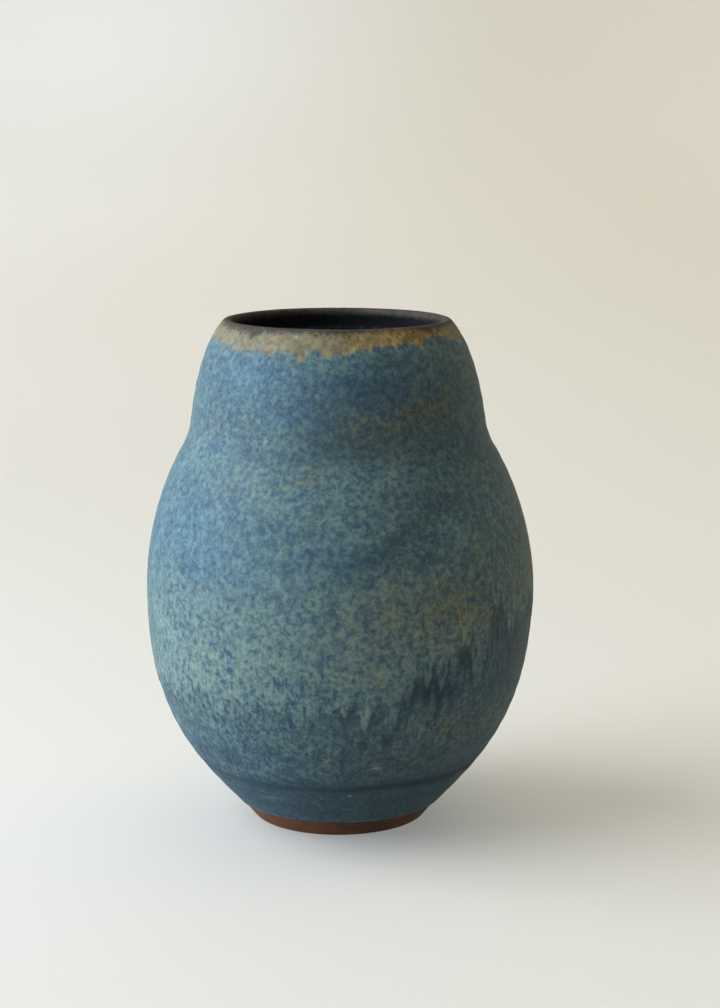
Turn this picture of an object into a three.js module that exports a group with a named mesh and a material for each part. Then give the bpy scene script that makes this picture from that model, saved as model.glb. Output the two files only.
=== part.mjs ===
// A hand-thrown stoneware flower vase: a full belly under a domed collar, with a crease at the waist
// where the two thrown sections join, a bare turned foot, and glaze inside and out.
// Millimetres, +Z up, with the origin at the centre of the underside of the foot.
// Every sub-part is turned about the Z axis, so each one is a closed outline of (radius, height).

import * as THREE from "three";

// Driving dimensions of the outer surface
const HEIGHT = 215;
const FOOT_RADIUS = 36.8;
const BELLY_RADIUS = 82.7;
const BELLY_HEIGHT = 100.4;
const WAIST_RADIUS = 62.8;
const WAIST_HEIGHT = 166.3;
const LIP_RADIUS = 46.6; // to the middle of the wall at the lip

// Slope of the wall on its way up, in degrees: 0 is level and outwards, 90 is upright
const FOOT_SLOPE = 48;
const SHOULDER_SLOPE = 124;
const COLLAR_SLOPE = 95.4;
const LIP_SLOPE = 130;

// Fullness: how far each stretch of the wall keeps the slope that it starts or ends with
const FOOT_FULLNESS = 35.2;
const UNDERBELLY_FULLNESS = 57.7;
const OVERBELLY_FULLNESS = 22.9;
const SHOULDER_FULLNESS = 21.7;
const COLLAR_FULLNESS = 17.4;
const LIP_FULLNESS = 14;

// The wall thins steadily from the floor to the lip, and the lip is a full round of its thickness
const LIP_WALL = 4;
const BASE_WALL = 6.6;

// The floor inside, and the turned foot underneath
const FLOOR_HEIGHT = 13;
const FLOOR_CORNER = 12;
const FOOT_HEIGHT = 8;
const FOOT_BORE = 27;
const FOOT_RECESS = 4;
const FOOT_EASE = 0.8; // worn edge where the foot meets the table

// Glaze coats on the clay, and the clearance between neighbouring sub-parts
const COAT = 0.8;
const GAP = 0.3;
const CLAY_DEPTH = COAT + GAP;
const FOOT_SETBACK = 0.6; // the bare foot sits back from the glaze above it

// Heights where one coat ends and the next begins
const RUN_HEIGHT = 74; // lower edge of the second dip, where it ran
const BAND_HEIGHT = 205; // lower edge of the iron band round the lip
const LINER_HEIGHT = 207; // top of the liner glaze

// Facets
const ROUND_SEGMENTS = 40;
const UNDERBELLY_STEPS = 8;
const SHOULDER_STEPS = 6;
const COLLAR_STEPS = 6;
const LIP_STEPS = 4;
const CORNER_STEPS = 3;

const LIP_CENTRE = new THREE.Vector2(LIP_RADIUS, HEIGHT - LIP_WALL / 2);

// The point that lies a distance away from another, on a slope in degrees.
function along(point, slope, distance) {
  const angle = THREE.MathUtils.degToRad(slope);
  return new THREE.Vector2(Math.cos(angle), Math.sin(angle)).multiplyScalar(distance).add(point);
}

// The glazed outer surface from the table to the start of the lip's round, bottom to top.
function outerSurface() {
  const foot = new THREE.Vector2(FOOT_RADIUS, 0);
  const belly = new THREE.Vector2(BELLY_RADIUS, BELLY_HEIGHT);
  const waist = new THREE.Vector2(WAIST_RADIUS, WAIST_HEIGHT);
  const lip = along(LIP_CENTRE, LIP_SLOPE - 90, LIP_WALL / 2);
  const underbelly = new THREE.CubicBezierCurve(
    foot,
    along(foot, FOOT_SLOPE, FOOT_FULLNESS),
    along(belly, 90, -UNDERBELLY_FULLNESS),
    belly,
  );
  const shoulder = new THREE.CubicBezierCurve(
    belly,
    along(belly, 90, OVERBELLY_FULLNESS),
    along(waist, SHOULDER_SLOPE, -SHOULDER_FULLNESS),
    waist,
  );
  const collar = new THREE.CubicBezierCurve(
    waist,
    along(waist, COLLAR_SLOPE, COLLAR_FULLNESS),
    along(lip, LIP_SLOPE, -LIP_FULLNESS),
    lip,
  );
  return [
    ...underbelly.getSpacedPoints(UNDERBELLY_STEPS),
    ...shoulder.getSpacedPoints(SHOULDER_STEPS).slice(1),
    ...collar.getSpacedPoints(COLLAR_STEPS).slice(1),
  ];
}

const OUTER = outerSurface();
const LIP_START = OUTER.at(-1);

// Thickness of the wall, glaze included, where its outside is at this height.
function wallAt(height) {
  return THREE.MathUtils.mapLinear(height, 0, LIP_START.y, BASE_WALL, LIP_WALL);
}

// The outer surface moved into the wall, by a depth that a function of the height gives.
function sunk(depthAt) {
  return OUTER.map((point, i) => {
    const before = OUTER[Math.max(i - 1, 0)];
    const after = OUTER[Math.min(i + 1, OUTER.length - 1)];
    const isLip = point === LIP_START;
    const rise = new THREE.Vector2().subVectors(after, before).normalize();
    const slope = isLip ? LIP_SLOPE : THREE.MathUtils.radToDeg(rise.angle());
    return along(point, slope + 90, depthAt(point.y));
  });
}

// Where a rising outline passes a height.
function crossing(outline, height) {
  const i = outline.findIndex((point) => point.y > height);
  const [below, above] = [outline[i - 1], outline[i]];
  return new THREE.Vector2().lerpVectors(below, above, (height - below.y) / (above.y - below.y));
}

// The stretch of a rising outline between two heights, with an end point on each of them.
function between(outline, low, high) {
  const inside = outline.filter((point) => point.y > low && point.y < high);
  return [crossing(outline, low), ...inside, crossing(outline, high)];
}

// The stretch of a rising outline above a height.
function above(outline, low) {
  return [crossing(outline, low), ...outline.filter((point) => point.y > low)];
}

// A surface of the outer coat or of the clay under it, at a depth below the outside.
function outside(depth) {
  return sunk(() => depth);
}

// A surface of the liner or of the clay behind it, at a depth below the inside, bottom to top.
function inside(depth) {
  return sunk((height) => wallAt(height) - depth);
}

// The lip's round at a depth below its surface, from the outside over to the inside.
function lipRound(depth) {
  const turn = THREE.MathUtils.degToRad(LIP_SLOPE);
  const radius = LIP_WALL / 2 - depth;
  const round = new THREE.EllipseCurve(
    LIP_CENTRE.x,
    LIP_CENTRE.y,
    radius,
    radius,
    turn - Math.PI / 2,
    turn + Math.PI / 2,
  );
  return round.getPoints(LIP_STEPS);
}

// The hollow's wall from a height down to the floor, round the corner and in to the axis,
// at a depth below the inside.
function hollow(depth, top) {
  const floor = FLOOR_HEIGHT - depth;
  const wall = between(inside(depth), floor + FLOOR_CORNER, top);
  const [foot, next] = wall;
  const fall = (foot.y - floor) / (next.y - foot.y);
  const meeting = new THREE.Vector2().subVectors(foot, next).multiplyScalar(fall).add(foot);
  const inward = new THREE.Vector2(meeting.x - foot.distanceTo(meeting), floor);
  const corner = new THREE.QuadraticBezierCurve(foot, meeting, inward);
  return [
    ...wall.reverse(),
    ...corner.getPoints(CORNER_STEPS).slice(1),
    new THREE.Vector2(0, floor),
  ];
}

// A ring-shaped strip of coat between two surfaces that both rise the same way.
function strip(face, back) {
  return [...face, ...[...back].reverse(), face[0]];
}

// The sub-part turned from an outline that runs anticlockwise, with +Z up.
function turned(name, outline, color, roughness) {
  const geometry = new THREE.LatheGeometry(outline, ROUND_SEGMENTS).rotateX(Math.PI / 2);
  const material = new THREE.MeshStandardMaterial({ color, roughness, metalness: 0 });
  const mesh = new THREE.Mesh(geometry, material);
  mesh.name = name;
  return mesh;
}

// The turned foot: a bevelled ring of bare clay round a shallow recess.
function footRing() {
  const shoulder = crossing(outside(FOOT_SETBACK), FOOT_HEIGHT);
  return [
    new THREE.Vector2(FOOT_BORE, 0),
    new THREE.Vector2(FOOT_RADIUS - FOOT_EASE, 0),
    new THREE.Vector2(FOOT_RADIUS, FOOT_EASE),
    shoulder,
    new THREE.Vector2(FOOT_BORE, FOOT_HEIGHT),
    new THREE.Vector2(FOOT_BORE, 0),
  ];
}

// The lower thrown section: the floor and the belly, up to the joint at the waist.
function bellySection() {
  const underside = FOOT_HEIGHT + GAP;
  const joint = WAIST_HEIGHT - GAP / 2;
  return [
    new THREE.Vector2(0, FOOT_RECESS),
    new THREE.Vector2(FOOT_BORE - GAP, FOOT_RECESS),
    new THREE.Vector2(FOOT_BORE - GAP, underside),
    ...between(outside(CLAY_DEPTH), underside, joint),
    ...hollow(CLAY_DEPTH, joint),
  ];
}

// The upper thrown section: the collar, from the joint at the waist to the lip.
function collarSection() {
  const joint = WAIST_HEIGHT + GAP / 2;
  const face = above(outside(CLAY_DEPTH), joint);
  const back = above(inside(CLAY_DEPTH), joint);
  return strip([...face, ...lipRound(CLAY_DEPTH).slice(1, -1)], back);
}

// A coat on the outside between two heights.
function outerCoat(low, high) {
  return strip(between(outside(0), low, high), between(outside(COAT), low, high));
}

// The iron band: a coat that runs up the outside, over the lip and a little way down the inside.
function lipBand() {
  const face = [...above(outside(0), BAND_HEIGHT), ...lipRound(0).slice(1, -1)];
  const innerFace = above(inside(0), LINER_HEIGHT + GAP).reverse();
  const back = [...above(outside(COAT), BAND_HEIGHT), ...lipRound(COAT).slice(1, -1)];
  const innerBack = above(inside(COAT), LINER_HEIGHT + GAP).reverse();
  return strip([...face, ...innerFace], [...back, ...innerBack]);
}

// The liner glaze: a thin cup over the whole inside of the vase.
function liner() {
  return [...hollow(COAT, LINER_HEIGHT).reverse(), ...hollow(0, LINER_HEIGHT)];
}

const vase = new THREE.Group();
vase.add(
  turned("foot_ring", footRing(), "#6b4a3c", 0.85),
  turned("belly_section", bellySection(), "#7a5646", 0.85),
  turned("collar_section", collarSection(), "#7a5646", 0.85),
  turned("base_glaze", outerCoat(FOOT_HEIGHT + GAP, RUN_HEIGHT - GAP), "#4f7386", 0.55),
  turned("run_glaze", outerCoat(RUN_HEIGHT, BAND_HEIGHT - GAP), "#7394a0", 0.6),
  turned("lip_band", lipBand(), "#7d7362", 0.6),
  turned("liner_glaze", liner(), "#1b1c22", 0.35),
);

export default vase;
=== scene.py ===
"""Looks of a hand-thrown stoneware flower vase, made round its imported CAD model.

The pot is bare turned clay at the foot, a slate-blue ground glaze on the lower belly, a paler second dip that
ran down over it, an iron band that breaks buff and charcoal at the lip, and a near-black liner glaze inside.

Lengths are millimetres until a mesh is made, and heights are measured from the table. Angles are degrees
round the pot: 0 is its front, towards -Y, and they grow towards +X.
"""

import logging
import math
from dataclasses import dataclass, field
from enum import Enum
from typing import Callable

import bpy
import numpy as np
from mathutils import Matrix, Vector


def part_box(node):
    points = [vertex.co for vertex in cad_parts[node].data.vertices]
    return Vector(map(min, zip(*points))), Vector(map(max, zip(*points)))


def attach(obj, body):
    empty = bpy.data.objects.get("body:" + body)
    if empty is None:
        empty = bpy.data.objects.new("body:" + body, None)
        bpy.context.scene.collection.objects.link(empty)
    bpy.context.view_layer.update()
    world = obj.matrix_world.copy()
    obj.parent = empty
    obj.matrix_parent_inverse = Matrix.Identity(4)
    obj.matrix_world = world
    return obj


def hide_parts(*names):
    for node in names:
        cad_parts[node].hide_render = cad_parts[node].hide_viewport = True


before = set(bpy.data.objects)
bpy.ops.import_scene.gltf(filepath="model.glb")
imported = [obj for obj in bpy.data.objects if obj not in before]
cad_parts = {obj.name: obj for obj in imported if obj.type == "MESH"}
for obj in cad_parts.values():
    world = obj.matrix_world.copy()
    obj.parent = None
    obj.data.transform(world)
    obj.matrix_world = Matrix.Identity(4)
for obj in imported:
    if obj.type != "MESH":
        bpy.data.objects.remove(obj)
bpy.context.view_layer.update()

log = logging.getLogger("vase")

MM = 0.001
ROOT = "root"

ON_AXIS = 1e-6  # a radius below this lies on the pot's axis
SHARP_ANGLE = 50.0  # faces that meet more steeply than this keep a sharp edge
CLEARANCE = 0.3  # between neighbouring pieces
FINGER_BLUNTNESS = 0.7  # 0.5 gives a run of glaze a half round, and 1 gives it a slimmer tongue
PATTERN_RANGE = (0.25, 0.75)  # what nearly all of a cloudy pattern lies between
GLAZE_IOR = 1.5

Array = np.ndarray
Socket = bpy.types.NodeSocket
Relief = Callable[[Array, Array], Array]


def linear(hex_colour: str) -> tuple[float, float, float, float]:
    """Turns an sRGB hex colour into the linear colour that a shader takes.

    Args:
        hex_colour: six hex digits after a #.

    Returns:
        Linear red, green and blue, and an alpha of 1.
    """
    parts = [int(hex_colour[i : i + 2], 16) / 255 for i in (1, 3, 5)]
    channels = [c / 12.92 if c <= 0.04045 else ((c + 0.055) / 1.055) ** 2.4 for c in parts]
    return (*channels, 1.0)


def add_node(
    tree: bpy.types.NodeTree, kind: str, sockets: dict | None = None, **settings: object
) -> bpy.types.Node:
    """Adds one node, sets its properties, and fills its sockets with values or with links.

    Args:
        tree: the node tree that gets the node.
        kind: the node's type, such as ShaderNodeMix.
        sockets: input name or number to a plain value or to another node's output.
        settings: properties of the node itself.

    Returns:
        The new node.
    """
    made = tree.nodes.new(kind)
    for name, value in settings.items():
        setattr(made, name, value)
    for key, value in (sockets or {}).items():
        if isinstance(value, Socket):
            tree.links.new(value, made.inputs[key])
        else:
            made.inputs[key].default_value = value
    return made


def box_mm(node: str) -> tuple[Array, Array]:
    """Gives a CAD node's lowest and highest corners in millimetres."""
    low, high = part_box(node)
    return np.array(low) / MM, np.array(high) / MM


# ---------------------------------------------------------------------------------------------------------
# The wall in section
# ---------------------------------------------------------------------------------------------------------


class Side(Enum):
    """Which side of the lip a height on the wall is measured on."""

    OUTSIDE = "outside"
    INSIDE = "inside"


Place = tuple[Side, float]


def bezier(start: Array, start_pull: Array, end_pull: Array, end: Array, count: int) -> Array:
    """Gives points along a cubic curve.

    Args:
        start: where the curve begins.
        start_pull: the point that it sets out towards.
        end_pull: the point that it comes in from.
        end: where the curve ends.
        count: how many points to give, with both ends.

    Returns:
        The points, one to a row.
    """
    t = np.linspace(0.0, 1.0, count)[:, None]
    near = (1 - t) ** 3 * start + 3 * (1 - t) ** 2 * t * start_pull
    return near + 3 * (1 - t) * t**2 * end_pull + t**3 * end


def rounded(start: Array, corner: Array, end: Array, count: int) -> Array:
    """Gives count points along a curve that eases a corner off, from one point to another."""
    return bezier(start, (start + 2 * corner) / 3, (end + 2 * corner) / 3, end, count)


def along(point: Array, slope: float, distance: float) -> Array:
    """Gives the point a distance away from another, on a slope in degrees: 90 is upright."""
    angle = math.radians(slope)
    return point + distance * np.array([math.cos(angle), math.sin(angle)])


def spaced(points: Array, step: float) -> Array:
    """Gives points at even steps along an outline, with both its ends kept.

    Args:
        points: the outline.
        step: the distance that the steps come nearest to.

    Returns:
        The new points.
    """
    lengths = np.concatenate([[0.0], np.cumsum(np.linalg.norm(np.diff(points, axis=0), axis=1))])
    places = np.linspace(0.0, lengths[-1], max(2, round(lengths[-1] / step) + 1))
    return np.stack([np.interp(places, lengths, points[:, k]) for k in (0, 1)], axis=1)


def normals(points: Array) -> Array:
    """Gives the unit normals of an outline.

    Args:
        points: the outline.

    Returns:
        A normal for each point, on the right of the way that the outline runs.
    """
    rise = np.gradient(points, axis=0)
    rise /= np.linalg.norm(rise, axis=1, keepdims=True)
    return np.stack([rise[:, 1], -rise[:, 0]], axis=1)


@dataclass(frozen=True)
class Wall:
    """The wall of the pot in section, glaze included: its driving sizes in millimetres and degrees."""

    height: float
    belly_radius: float
    waist_height: float
    glaze_line: float
    foot_radius: float = 36.8
    belly_height: float = 100.4
    waist_radius: float = 62.8
    lip_radius: float = 46.6
    foot_slope: float = 48.0
    shoulder_slope: float = 124.0
    collar_slope: float = 95.4
    lip_slope: float = 130.0
    foot_fullness: float = 35.2
    underbelly_fullness: float = 57.7
    overbelly_fullness: float = 22.9
    shoulder_fullness: float = 21.7
    collar_fullness: float = 17.4
    lip_fullness: float = 14.0
    waist_fillet: float = 7.0
    lip_wall: float = 4.0
    base_wall: float = 6.6
    floor_height: float = 13.0
    floor_corner: float = 12.0
    coat: float = 0.8
    curve_points: int = 300
    round_points: int = 40
    corner_points: int = 30

    @classmethod
    def from_frame(cls) -> "Wall":
        """Reads the sizes that the CAD model fixes from its boxes.

        Returns:
            The wall in those sizes.
        """
        joint = (box_mm("belly_section")[1][2] + box_mm("collar_section")[0][2]) / 2
        return cls(
            height=box_mm("lip_band")[1][2],
            belly_radius=box_mm("run_glaze")[1][0],
            waist_height=joint,
            glaze_line=box_mm("foot_ring")[1][2],
        )

    def outside(self) -> Array:
        """Gives the outer surface from the table up to the start of the lip's round.

        Returns:
            Points of radius and height, close together.
        """
        foot = np.array([self.foot_radius, 0.0])
        belly = np.array([self.belly_radius, self.belly_height])
        waist = np.array([self.waist_radius, self.waist_height])
        lip = self.lip_round(0.0)[0]
        low = bezier(
            foot,
            along(foot, self.foot_slope, self.foot_fullness),
            along(belly, 90, -self.underbelly_fullness),
            belly,
            self.curve_points,
        )
        middle = bezier(
            belly,
            along(belly, 90, self.overbelly_fullness),
            along(waist, self.shoulder_slope, -self.shoulder_fullness),
            waist,
            self.curve_points,
        )
        high = bezier(
            waist,
            along(waist, self.collar_slope, self.collar_fullness),
            along(lip, self.lip_slope, -self.lip_fullness),
            lip,
            self.curve_points,
        )
        middle = middle[np.linalg.norm(middle - waist, axis=1) > self.waist_fillet]
        high = high[np.linalg.norm(high - waist, axis=1) > self.waist_fillet]
        crease = rounded(middle[-1], waist, high[0], self.round_points)
        return np.concatenate([low, middle[1:-1], crease, high[1:]])

    def lip_round(self, depth: float) -> Array:
        """Gives the lip's round, from the outside over to the inside.

        Args:
            depth: how far behind the surface it lies.

        Returns:
            Points of radius and height.
        """
        centre = np.array([self.lip_radius, self.height - self.lip_wall / 2])
        turn = np.radians(np.linspace(self.lip_slope - 90, self.lip_slope + 90, self.round_points))
        return centre + (self.lip_wall / 2 - depth) * np.stack([np.cos(turn), np.sin(turn)], axis=1)

    def inside(self, depth: float) -> Array:
        """Gives the inner surface, from the lip's round down to the axis.

        The wall thins steadily from the floor to the lip, and a soft corner joins it to the floor.

        Args:
            depth: how far behind the surface it lies.

        Returns:
            Points of radius and height.
        """
        face = self.outside()
        thick = np.interp(face[:, 1], [0.0, face[-1, 1]], [self.base_wall, self.lip_wall])
        back = (face - normals(face) * (thick - depth)[:, None])[::-1]
        floor = self.floor_height - depth
        wall = back[back[:, 1] > floor + self.floor_corner]
        last, before = wall[-1], wall[-4]
        fall = (last - before) / (before[1] - last[1])
        meeting = last + fall * (last[1] - floor)
        inward = meeting - np.array([np.linalg.norm(meeting - last), 0.0])
        corner = rounded(last, meeting, inward, self.corner_points)
        return np.concatenate([wall[:-1], corner, [[0.0, floor]]])

    def skin(self, depth: float) -> Array:
        """Gives the whole glazed surface, up the outside, over the lip and down the inside to the axis.

        Args:
            depth: how far behind the surface it lies.

        Returns:
            Points of radius and height.
        """
        face = self.outside()
        up = face - normals(face) * depth
        return np.concatenate([up[:-1], self.lip_round(depth)[:-1], self.inside(depth)[1:]])

    def stretch(self, start: Place, end: Place, step: float, depth: float = 0.0) -> Array:
        """Gives the part of the glazed surface between two heights, at even steps.

        Args:
            start: the side and height where the stretch begins.
            end: the side and height where it ends, further along the surface.
            step: the distance between points.
            depth: how far behind the surface the stretch lies.

        Returns:
            Points of radius and height.
        """
        whole = self.skin(depth)
        crest = int(np.argmax(whole[:, 1]))
        marks = [self._mark(whole, crest, *place) for place in (start, end)]
        places = np.arange(len(whole))
        inner = places[(places > marks[0]) & (places < marks[1])]
        knots = np.concatenate([[marks[0]], inner, [marks[1]]])
        cut = np.stack([np.interp(knots, places, whole[:, k]) for k in (0, 1)], axis=1)
        return spaced(cut, step)

    def _mark(self, whole: Array, crest: int, side: Side, height: float) -> float:
        """Finds where the surface passes a height on one side of the lip.

        Args:
            whole: the whole skin.
            crest: the index of its highest point.
            side: the side of the lip.
            height: the height to find.

        Returns:
            A fractional index into the skin.
        """
        places = np.arange(len(whole), dtype=float)
        if side is Side.OUTSIDE:
            return float(np.interp(height, whole[: crest + 1, 1], places[: crest + 1]))
        return float(np.interp(-height, -whole[crest:, 1], places[crest:]))


# ---------------------------------------------------------------------------------------------------------
# The hand of the potter
# ---------------------------------------------------------------------------------------------------------


def ripple(angle: Array, waves: tuple[int, ...], seed: int) -> Array:
    """Gives an uneven line round the pot.

    Args:
        angle: where to find it, in degrees.
        waves: how many waves go round the pot, for each set of waves in the line.
        seed: picks the line's own shape.

    Returns:
        Values between about -1 and 1.
    """
    draw = np.random.default_rng(seed)
    total = np.zeros_like(angle, dtype=float)
    for count in waves:
        total += draw.uniform(0.5, 1.0) * np.sin(np.radians(count * angle + draw.uniform(0, 360)))
    return total / math.sqrt(len(waves))


def turn_between(angle: Array, centre: float) -> Array:
    """Gives the signed angle from a centre, between -180 and 180 degrees."""
    return (angle - centre + 180.0) % 360.0 - 180.0


def eased(value: Array, low: float, high: float) -> Array:
    """Gives 0 below low, 1 above high, and a smooth step between them."""
    t = np.clip((value - low) / (high - low), 0.0, 1.0)
    return t * t * (3 - 2 * t)


@dataclass(frozen=True)
class Hand:
    """What throwing by hand leaves on the form, in millimetres.

    Attributes:
        lean: heights, and how far along X the pot's centre stands off the axis there.
        lobe: how far the form is out of round.
        lobe_rise: the rise in which the wave of the lobes moves on by one radian.
        ring: the depth of the throwing rings.
        ring_pitch: the rise from one ring to the next.
        ring_fade: the rise in which the wave between faint and strong rings moves on by one radian.
        climb: how far the rings climb in a turn.
        wander: how far they stray from an even spiral.
        dent: the depth of the small dents that the fingers leave.
    """

    lean: tuple[tuple[float, float], ...] = ((0, 0.1), (40, 0.1), (100, 0.65), (165, -0.1), (215, -0.5))
    lobe: float = 0.22
    lobe_rise: float = 70.0
    ring: float = 0.07
    ring_pitch: float = 7.5
    ring_fade: float = 23.0
    climb: float = 3.0
    wander: float = 0.8
    dent: float = 0.06

    def shift(self, height: Array) -> Array:
        """Gives how far the pot's centre stands off the axis, along X, at each height."""
        heights, shifts = zip(*self.lean)
        return np.interp(height, heights, shifts)

    def relief(self, angle: Array, height: Array) -> Array:
        """Gives how far the surface stands proud of a true turned one.

        Args:
            angle: each point's angle round the pot.
            height: each point's height.

        Returns:
            A distance for each point.
        """
        spiral = height + self.climb * angle / 360 + self.wander * ripple(angle, (1, 2, 3), 5)
        strength = 0.6 + 0.4 * np.sin(height / self.ring_fade)
        rings = self.ring * strength * np.sin(2 * math.pi * spiral / self.ring_pitch)
        slow = height / self.lobe_rise
        lobes = self.lobe * np.sin(np.radians(2 * angle + 40) + slow) * np.sin(slow)
        return rings + lobes + self.dent * ripple(angle + 8 * slow, (3, 5, 8), 11)


# ---------------------------------------------------------------------------------------------------------
# Where each glaze lies
# ---------------------------------------------------------------------------------------------------------


class Mask(Enum):
    """Vertex layers that tell the glaze's shader what lies where."""

    DIP = "dip_cover"
    BAND = "band_cover"
    LIP = "lip_cover"
    CLOUD = "cloud_cover"
    BLUE = "blue_bloom"
    OLIVE = "olive_cast"
    # pooled glaze, and painted shade
    POOL_AND_SHADE = "pooled_glaze_and_painted_shade"
    # pale bloom, and painted light
    PALE = "pale_bloom_and_painted_light"
    RUST = "rust_break"
    SPECK = "pale_specks"


@dataclass(frozen=True)
class Run:
    """One run of glaze below the edge of its dip: a finger with a round end.

    Attributes:
        angle: where it hangs, in degrees.
        width: half its width, in degrees.
        drop: its length, in millimetres.
    """

    angle: float
    width: float
    drop: float


@dataclass(frozen=True)
class Patch:
    """A soft patch of another tone.

    Attributes:
        angle: where its middle is round the pot.
        height: how high its middle is.
        wide: how far it spreads round the pot, in degrees.
        tall: how far it spreads up and down, in millimetres.
        amount: how strong its middle is.
        climb: how far it rises with each degree to the right.
    """

    angle: float
    height: float
    wide: float
    tall: float
    amount: float = 1.0
    climb: float = 0.0

    def weigh(self, angle: Array, height: Array) -> Array:
        """Gives the patch's strength at each point.

        Args:
            angle: each point's angle round the pot.
            height: each point's height.

        Returns:
            A strength for each point.
        """
        across = turn_between(angle, self.angle)
        up = height - self.height - self.climb * across
        return self.amount * np.exp(-((across / self.wide) ** 2) - (up / self.tall) ** 2)


def edge_of(angle: Array, level: tuple[tuple[float, float], ...], runs: tuple[Run, ...]) -> Array:
    """Gives the height of a dip's lower edge round the pot.

    Args:
        angle: where to find it, in degrees.
        level: angles and heights that the edge passes without its runs, going round once.
        runs: the fingers that hang below it.

    Returns:
        A height for each angle.
    """
    places, heights = (np.array(column, dtype=float) for column in zip(*level))
    edge = np.interp(turn_between(angle, 0.0), places, heights, period=360.0)
    for run in runs:
        reach = np.clip(1 - (turn_between(angle, run.angle) / run.width) ** 2, 0.0, 1.0)
        edge = edge - run.drop * reach**FINGER_BLUNTNESS
    return edge


@dataclass(frozen=True)
class SecondDip:
    """The paler glaze of the second dip.

    Attributes:
        level: angles and heights that its lower edge passes.
        runs: the runs that hang from that edge.
        thickness: how far it stands proud of the ground glaze.
        bead: how much prouder its edge stands.
        bead_width: half the width of that bead.
        ragged: how far the edge strays up and down.
    """

    level: tuple[tuple[float, float], ...] = (
        (-175, 76), (-150, 78), (-120, 71), (-95, 66), (-75, 64), (-60, 64.5), (-45, 67), (-30, 67.5),
        (-15, 68.5), (0, 67), (12, 68), (18, 72), (22, 79), (28, 84), (34, 87), (39, 89), (45, 94),
        (50, 103), (53, 103), (57, 96), (64, 95), (70, 98), (74, 101), (80, 95), (95, 88), (115, 82),
        (140, 88), (165, 80),
    )
    runs: tuple[Run, ...] = (
        Run(-72, 3.0, 4), Run(-61, 2.5, 5), Run(-53, 2.5, 3), Run(-39, 3.0, 6), Run(-27, 2.2, 4),
        Run(-17, 1.5, 4), Run(-12.5, 2.0, 12), Run(-8.5, 1.3, 6), Run(-3, 2.2, 3), Run(2, 1.6, 4),
        Run(7.3, 1.8, 11), Run(15.4, 2.6, 16), Run(20, 1.6, 6), Run(25.5, 1.5, 8), Run(30, 2.0, 14),
        Run(34, 1.8, 16), Run(43.6, 3.6, 22), Run(57.5, 3.0, 8), Run(65, 2.0, 5), Run(79, 2.5, 7),
        Run(92, 2.0, 9), Run(104, 3.0, 6), Run(118, 1.6, 10), Run(131, 2.4, 5), Run(146, 1.8, 12),
        Run(158, 3.0, 6), Run(171, 1.5, 9), Run(-174, 2.2, 5), Run(-161, 1.6, 11), Run(-148, 3.0, 7),
        Run(-133, 1.8, 9), Run(-121, 2.6, 5), Run(-108, 1.5, 8), Run(-97, 2.2, 5), Run(-84, 2.0, 6),
    )
    thickness: float = 0.28
    bead: float = 0.12
    bead_width: float = 1.6
    ragged: float = 1.3

    def cover(self, angle: Array, height: Array) -> Array:
        """Gives how far each point lies above the dip's lower edge."""
        ragged = self.ragged * ripple(angle, (23, 37, 61, 89), 3)
        return height - edge_of(angle, self.level, self.runs) - ragged

    def relief(self, angle: Array, height: Array) -> Array:
        """Gives how far the dip stands proud of the ground glaze, with a slight bead along its edge.

        Args:
            angle: each point's angle round the pot.
            height: each point's height.

        Returns:
            A distance for each point.
        """
        cover = self.cover(angle, height)
        bead = self.bead * np.exp(-(((cover - self.bead_width) / self.bead_width) ** 2))
        return self.thickness * eased(cover, -0.8, 2.2) + bead


@dataclass(frozen=True)
class IronBand:
    """The iron band round the lip.

    Attributes:
        level: angles and heights that its lower edge passes.
        runs: the runs that hang from that edge.
        lip: angles and heights that the line passes where the band turns dark.
        ragged: how far the lower edge strays up and down.
        lip_ragged: how far the dark line strays up and down.
        thin: how much thinner the glaze is on the band.
    """

    level: tuple[tuple[float, float], ...] = (
        (-170, 208), (-130, 206.5), (-100, 207.5), (-80, 208), (-60, 207), (-45, 206), (-32, 205.5),
        (-22, 206.5), (-10, 206.8), (0, 206), (8, 206.8), (20, 208.6), (32, 209), (42, 208.6), (48, 210.6),
        (54, 210.8), (60, 208.8), (75, 207.5), (100, 207), (130, 208.5), (160, 206.5),
    )
    runs: tuple[Run, ...] = (
        Run(-49, 4.0, 1.6), Run(-31, 3.0, 1.0), Run(-15.6, 2.6, 5.2), Run(-5, 4.0, 1.4), Run(3, 3.0, 1.2),
        Run(26, 2.5, 0.9), Run(40, 2.5, 1.2), Run(72, 3.5, 2.0), Run(97, 2.5, 3.6), Run(121, 4.0, 1.8),
        Run(149, 2.4, 4.2), Run(-172, 3.5, 2.2), Run(-146, 2.2, 3.4), Run(-112, 3.4, 1.8), Run(-88, 2.4, 2.6),
    )
    lip: tuple[tuple[float, float], ...] = (
        (-160, 213.5), (-120, 213.6), (-85, 213.9), (-70, 213.6), (-58, 213.1), (-48, 212.5), (-43, 210.9),
        (-38, 213), (-30, 213.5), (-18, 213.5), (-6, 213.7), (5, 213.3), (14, 213.9), (30, 214.1),
        (42, 213.7), (49, 212.1), (55, 213.5), (70, 214.1), (95, 213.3), (125, 213.8), (155, 213.1),
    )
    ragged: float = 0.5
    lip_ragged: float = 0.3
    thin: float = 0.14

    def cover(self, angle: Array, height: Array) -> Array:
        """Gives how far each point lies above the band's lower edge."""
        ragged = self.ragged * ripple(angle, (19, 41, 73, 110), 7)
        return height - edge_of(angle, self.level, self.runs) - ragged

    def lip_cover(self, angle: Array, height: Array) -> Array:
        """Gives how far each point lies above the line where the lip turns dark."""
        return height - edge_of(angle, self.lip, ()) - self.lip_ragged * ripple(angle, (17, 47, 83), 13)

    def relief(self, angle: Array, height: Array) -> Array:
        """Gives the slight dip where the glaze ran thin over the lip."""
        return -self.thin * eased(self.cover(angle, height), -0.6, 1.4)


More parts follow.
